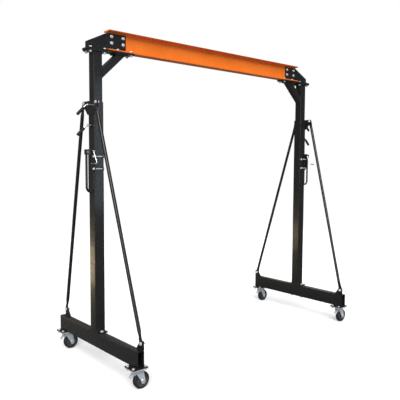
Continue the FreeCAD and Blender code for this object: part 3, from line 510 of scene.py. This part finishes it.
def leg_welds(side):
    """Beads of one leg: post foot, brace ears, caster plates, latch bracket and housing."""
    s = SIDES[side]
    bm = bmesh.new()
    base_low, base_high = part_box(f"{side}_base_tube")
    post_low, post_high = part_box(f"{side}_outer_post")
    weld_square(bm, post_low, post_high, post_low.z)
    for low, high in (box_pair(p) for p in islands(f"{side}_base_plates")):
        if high.z > base_high.z + 20 * MM:  # an ear, on top of the base tube
            for x in (low.x, high.x):
                bead(bm, Vector((x, low.y + 3 * MM, base_high.z)),
                     Vector((x, high.y - 3 * MM, base_high.z)))
        elif low.z < base_low.z - 1 * MM:  # a caster plate, under it
            for x in (base_low.x + 2 * MM, base_high.x - 2 * MM):
                bead(bm, Vector((x, low.y + 6 * MM, base_low.z)),
                     Vector((x, high.y - 6 * MM, base_low.z)), 3 * MM)
    x = post_high.x if s > 0 else post_low.x
    bracket_low, bracket_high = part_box(f"{side}_latch_bracket")
    for y in (post_low.y + 2 * MM, post_high.y - 2 * MM):
        bead(bm, Vector((x, y, bracket_low.z + 34 * MM)),
             Vector((x, y, bracket_high.z - 4 * MM)), 2 * MM)
    for y in (-39 * MM, -15 * MM):
        bead(bm, Vector((x + s * 6 * MM, y, bracket_high.z - 38 * MM)),
             Vector((x + s * 6 * MM, y, bracket_high.z - 6 * MM)), 2 * MM)
    from_bmesh(bm, f"{side}_leg_welds", f"{side}_leg", "black_paint", sharp=60)


def upper_welds():
    """Beads of the raised frame: cap plates, knee braces and web plates."""
    bm = bmesh.new()
    seat_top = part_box("seat_plates")[1].z
    plates_low, plates_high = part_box("web_plates")
    half = 34 * MM  # half of an inner post's width
    for side, s in SIDES.items():
        knee_low, knee_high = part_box(f"{side}_knee_brace")
        post_low, post_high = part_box(f"{side}_inner_post")
        centre = (post_low.x + post_high.x) / 2
        cap_z = post_high.z - 10 * MM
        weld_square(bm, Vector((centre - half, -half, 0)), Vector((centre + half, half, 0)), cap_z)
        face = centre - s * half
        inner = knee_low.x if s > 0 else knee_high.x
        for y in (-25 * MM, 25 * MM):
            bead(bm, Vector((face, y, knee_low.z + 4 * MM)),
                 Vector((face, y, knee_low.z + 63 * MM)))
            bead(bm, Vector((inner + s * 18 * MM, y, cap_z)),
                 Vector((inner + s * 88 * MM, y, cap_z)))
        bead(bm, Vector((face, -22 * MM, knee_low.z + 1 * MM)),
             Vector((face, 22 * MM, knee_low.z + 1 * MM)))
        end = plates_high.x if s > 0 else plates_low.x
        for y in (-9 * MM, 9 * MM):
            bead(bm, Vector((end - s * 4 * MM, y, seat_top)),
                 Vector((end - s * 152 * MM, y, seat_top)), 3 * MM)
    from_bmesh(bm, "upper_welds", "upper_frame", "black_paint", sharp=60)


def grip(side, level):
    """A ribbed grip moulded over the bent end of a locking pin."""
    node = f"{side}_{level}_pin_grip"
    low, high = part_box(node)
    radius = (high.y - low.y) / 2
    slope = Vector((SIDES[side], 0, -1)).normalized()
    length = (high.z - low.z) * math.sqrt(2) - 2 * radius
    start = (low + high) / 2 - slope * length / 2
    profile = [(0, radius * 0.62), (0, radius * 0.92), (0.6 * MM, radius),
               (4.2 * MM, radius), (5 * MM, radius * 0.86)]
    ribs = 9
    pitch = (length - 15 * MM) / ribs
    for i in range(ribs):
        base = 6 * MM + i * pitch
        profile += [(base, radius * 0.84), (base + pitch * 0.22, radius * 0.97),
                    (base + pitch * 0.36, radius), (base + pitch * 0.62, radius),
                    (base + pitch * 0.76, radius * 0.97), (base + pitch * 0.98, radius * 0.84)]
    profile += [(length - 8 * MM, radius), (length - 3 * MM, radius * 0.97),
                (length - 1 * MM, radius * 0.82), (length, radius * 0.5)]
    bm = bmesh.new()
    revolve(bm, start, slope, profile, 40)
    from_bmesh(bm, node + "_ribbed", f"{side}_{level}_lock", "grip_rubber", [node], 50)


def tyre(name):
    """A moulded tyre with rounded shoulders and a fine mould line round its middle."""
    node = f"{name}_tyre"
    low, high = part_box(node)
    middle = (low + high) / 2
    radius, half = middle.z, (high.y - low.y) / 2
    inner = radius - 14.6 * MM
    profile = [(-half + 1 * MM, inner), (-half, inner + 1.5 * MM), (-half, radius - 7 * MM),
               (-half + 0.9 * MM, radius - 3.6 * MM), (-half + 3 * MM, radius - 1.5 * MM),
               (-half + 6 * MM, radius - 0.5 * MM), (-1 * MM, radius),
               (-0.4 * MM, radius - 0.5 * MM)]
    profile += [(-along, r) for along, r in reversed(profile)]
    bm = bmesh.new()
    revolve(bm, middle, ALONG_Y, profile, 96, bored=True)
    from_bmesh(bm, node + "_moulded", f"{name}_roller", "tyre", [node], 40)


def wheel_core(name):
    """A cast core: rim, dished web, ribs and a bored hub."""
    node = f"{name}_wheel"
    low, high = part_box(node)
    middle = (low + high) / 2
    rim, half = (high.z - low.z) / 2, (high.y - low.y) / 2
    profile = [(-half, 5.2 * MM), (-half, 13 * MM), (-half + 1.5 * MM, 14.6 * MM),
               (-6 * MM, 15.5 * MM), (-4.6 * MM, 18 * MM), (-4.6 * MM, rim - 9 * MM),
               (-7 * MM, rim - 6 * MM), (-half + 2 * MM, rim - 4.6 * MM),
               (-half, rim - 3 * MM), (-half, rim)]
    profile += [(-along, r) for along, r in reversed(profile)]
    bm = bmesh.new()
    revolve(bm, middle, ALONG_Y, profile, 72, bored=True)
    ribs = 6
    corners = [(-2 * MM, -9 * MM), (2 * MM, -9 * MM), (2 * MM, 9 * MM), (-2 * MM, 9 * MM)]
    for i in range(ribs):
        turn = Matrix.Translation(middle) @ Matrix.Rotation(i * math.pi / 3, 4, "Y")
        skin(bm, [[turn @ Vector((x, y, z)) for x, y in corners]
                  for z in (14 * MM, rim - 5 * MM)])
    from_bmesh(bm, node + "_cast", f"{name}_roller", "wheel_core", [node], 35)


def swivel_race(name):
    """The two pressed cups of the ball race, above the fork's crown."""
    base_low, base_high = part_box("right_base_tube")
    wheel_low, wheel_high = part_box(f"{name}_wheel")
    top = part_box(f"{name}_fork")[1].z
    x = SIDES[name.split("_")[0]] * (base_low.x + base_high.x) / 2
    y = (wheel_low.y + wheel_high.y) / 2
    profile = [(0, 20 * MM), (0, 30.5 * MM), (0.9 * MM, 31.6 * MM), (4.2 * MM, 31.6 * MM),
               (5.2 * MM, 30.2 * MM), (5.7 * MM, 29.2 * MM), (6.6 * MM, 29.2 * MM),
               (7.2 * MM, 31 * MM), (8.2 * MM, 32.2 * MM), (11.2 * MM, 32.2 * MM),
               (12.3 * MM, 30.6 * MM), (12.6 * MM, 20 * MM)]
    bm = bmesh.new()
    revolve(bm, Vector((x, y, top - 12.7 * MM)), UP, profile, 56, bored=True)
    from_bmesh(bm, name + "_ball_race", f"{name}_swivel", "bright_zinc", sharp=30)


def pedal_ridges(name):
    """Raised tread bars on the brake pedal's tab."""
    low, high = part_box(f"{name}_brake_pedal")
    tab = Vector((low.x + 4.5 * MM, 0, low.z + 5 * MM))
    # the run and rise of an earlier, longer tab: the present one is steeper, so these bars
    # leave its face and the last one stands 1.6 mm clear of it
    slope = Vector((41, 0, 25)).normalized()
    middle_y = (low.y + high.y) / 2
    bm = bmesh.new()
    for i in range(4):
        at = tab + slope * (i * 6 * MM)
        bead(bm, Vector((at.x, middle_y - 12 * MM, at.z)),
             Vector((at.x, middle_y + 12 * MM, at.z)), 1.6 * MM)
    from_bmesh(bm, name + "_pedal_tread", f"{name}_pedal", "bright_zinc", sharp=50)


def pin_washer(side, level):
    """A bright washer on the locking pin, outside its bush."""
    s = SIDES[side]
    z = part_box(f"{side}_{level}_pin")[1].z - 6 * MM
    collar_low, collar_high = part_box(f"{side}_collar_plate")
    face = collar_high.x if s > 0 else collar_low.x
    bm = bmesh.new()
    washer(bm, Vector((face + s * 20.6 * MM, 0, z)), Vector((s, 0, 0)),
           5 * MM, 10.5 * MM, 1.6 * MM)
    from_bmesh(bm, f"{side}_{level}_pin_washer", f"{side}_{level}_lock", "chrome", sharp=30)


def housing_eye(side):
    """A plated eyelet on the front face of the latch housing."""
    s = SIDES[side]
    low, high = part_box(f"{side}_latch_bracket")
    outer = high.x if s > 0 else low.x
    profile = [(-0.5 * MM, 3.4 * MM), (-0.5 * MM, 7.4 * MM), (1.2 * MM, 6.8 * MM),
               (1.8 * MM, 5.4 * MM), (1.4 * MM, 4.0 * MM), (0.4 * MM, 3.4 * MM)]
    bm = bmesh.new()
    revolve(bm, Vector((outer - s * 14 * MM, -39 * MM, high.z - 22 * MM)), -ALONG_Y,
            profile, 32, bored=True)
    from_bmesh(bm, f"{side}_housing_eyelets", f"{side}_leg", "chrome", sharp=40)


for node in ("i_beam", "seat_plates", "web_plates", "left_knee_brace", "right_knee_brace"):
    soften(node, ROLLED_EDGE)
for side in SIDES:
    for part in ("base_tube", "outer_post", "inner_post", "base_plates", "collar_plate",
                 "latch_bracket", "bolt_lugs", "caster_plates"):
        soften(f"{side}_{part}", CUT_EDGE)
    for part in ("front_brace", "rear_brace", "grab_handle", "release_lever", "upper_pin",
                 "lower_pin"):
        soften(f"{side}_{part}", FINE_EDGE)
    bolts(f"{side}_leg_bolts")
    leg_welds(side)
    housing_eye(side)
    for level in ("upper", "lower"):
        grip(side, level)
        pin_washer(side, level)
    for end in ENDS:
        name = f"{side}_{end}"
        soften(f"{name}_fork", FORK_EDGE)
        soften(f"{name}_brake_pedal", FINE_EDGE)
        bolts(f"{name}_axle")
        tyre(name)
        wheel_core(name)
        swivel_race(name)
        pedal_ridges(name)
bolts("upper_bolts")
upper_welds()


# ---------------------------------------------------------------- stage, light and camera

def stage_floor():
    """A wide pale floor with a faint mottle and a faint glow, kept out of reflections."""
    look = Look("pale_floor", specular=0.1)
    look.mottle(1.5, 3, (0.93, 0.93, 0.93), (0.97, 0.97, 0.97))
    look.shader.inputs["Roughness"].default_value = 0.9
    look.shader.inputs["Emission Color"].default_value = (1, 1, 1, 1)
    look.shader.inputs["Emission Strength"].default_value = 0.08
    bm = bmesh.new()
    bmesh.ops.create_circle(bm, cap_ends=True, segments=64, radius=60)
    mesh = bpy.data.meshes.new("floor")
    bm.to_mesh(mesh)
    bm.free()
    mesh.materials.append(look.material)
    floor = bpy.data.objects.new("floor", mesh)
    bpy.context.scene.collection.objects.link(floor)
    floor.visible_diffuse = False
    floor.visible_glossy = False


def lamp(kind, name, place, aim, power):
    """A lamp that the camera doesn't see."""
    data = bpy.data.lights.new(name, kind)
    data.energy = power
    holder = bpy.data.objects.new(name, data)
    holder.location = place
    holder.rotation_euler = (Vector(aim) - Vector(place)).to_track_quat("-Z", "Y").to_euler()
    holder.visible_camera = False
    bpy.context.scene.collection.objects.link(holder)
    return data


def softbox(name, place, aim, width, height, power):
    """A rectangular lamp, with its sizes in metres and its power in watts."""
    data = lamp("AREA", name, place, aim, power)
    data.shape = "RECTANGLE"
    data.size, data.size_y = width, height
    return data


def surround():
    """A white world, seen white by the camera and dimmed in what it adds to the object."""
    world = bpy.data.worlds.new("studio")
    world.use_nodes = True
    tree = world.node_tree
    background = tree.nodes["Background"]
    background.inputs["Color"].default_value = (1, 1, 1, 1)
    dimmer = tree.nodes.new("ShaderNodeMapRange")
    dimmer.inputs["To Min"].default_value = 0.18
    dimmer.inputs["To Max"].default_value = 1.0
    seen = tree.nodes.new("ShaderNodeLightPath").outputs["Is Camera Ray"]
    tree.links.new(seen, dimmer.inputs["Value"])
    tree.links.new(dimmer.outputs["Result"], background.inputs["Strength"])
    bpy.context.scene.world = world


def studio():
    """A broad soft top light, and four softboxes for the highlights."""
    beam_end = (-1.1, 0, 1.3)
    top = lamp("SUN", "broad_top_light", (-4, -5.2, 6), (0, 0, 0), 3.9)
    top.angle = math.radians(50)
    softbox("strip_left", (-4.8, -3.2, 1.7), beam_end, 0.6, 3.2, 60)
    cool = softbox("front_right", (1.7, -4.9, 1.75), beam_end, 1.3, 2.2, 20)
    cool.color = (0.80, 0.90, 1.0)
    softbox("rear_high", (4.4, 3.2, 5.4), (0, 0, 1.3), 3.0, 2.4, 200)
    warm = softbox("warm_low", (-2.7, 3.0, 0.1), (0, 0, 0.75), 1.6, 0.5, 12)
    warm.color = (1.0, 0.78, 0.45)
    surround()
    bpy.context.scene.view_settings.view_transform = "Standard"


def camera():
    """The photographer's place: left of the front, above half height, with a slight dip."""
    yaw, dip, roll = (math.radians(a) for a in (CAMERA_YAW, CAMERA_DIP, CAMERA_ROLL))
    ahead = Vector((math.cos(dip) * math.cos(yaw), math.cos(dip) * math.sin(yaw), -math.sin(dip)))
    right = ahead.cross(UP).normalized()
    up = right.cross(ahead)
    right, up = (right * math.cos(roll) + up * math.sin(roll),
                 up * math.cos(roll) - right * math.sin(roll))
    data = bpy.data.cameras.new("camera")
    data.sensor_width = 36
    data.lens = CAMERA_LENS
    data.clip_end = 200
    lens = bpy.data.objects.new("camera", data)
    lens.matrix_world = Matrix((right, up, -ahead)).transposed().to_4x4()
    lens.location = CAMERA_PLACE
    bpy.context.scene.collection.objects.link(lens)
    bpy.context.scene.camera = lens


stage_floor()
studio()
camera()
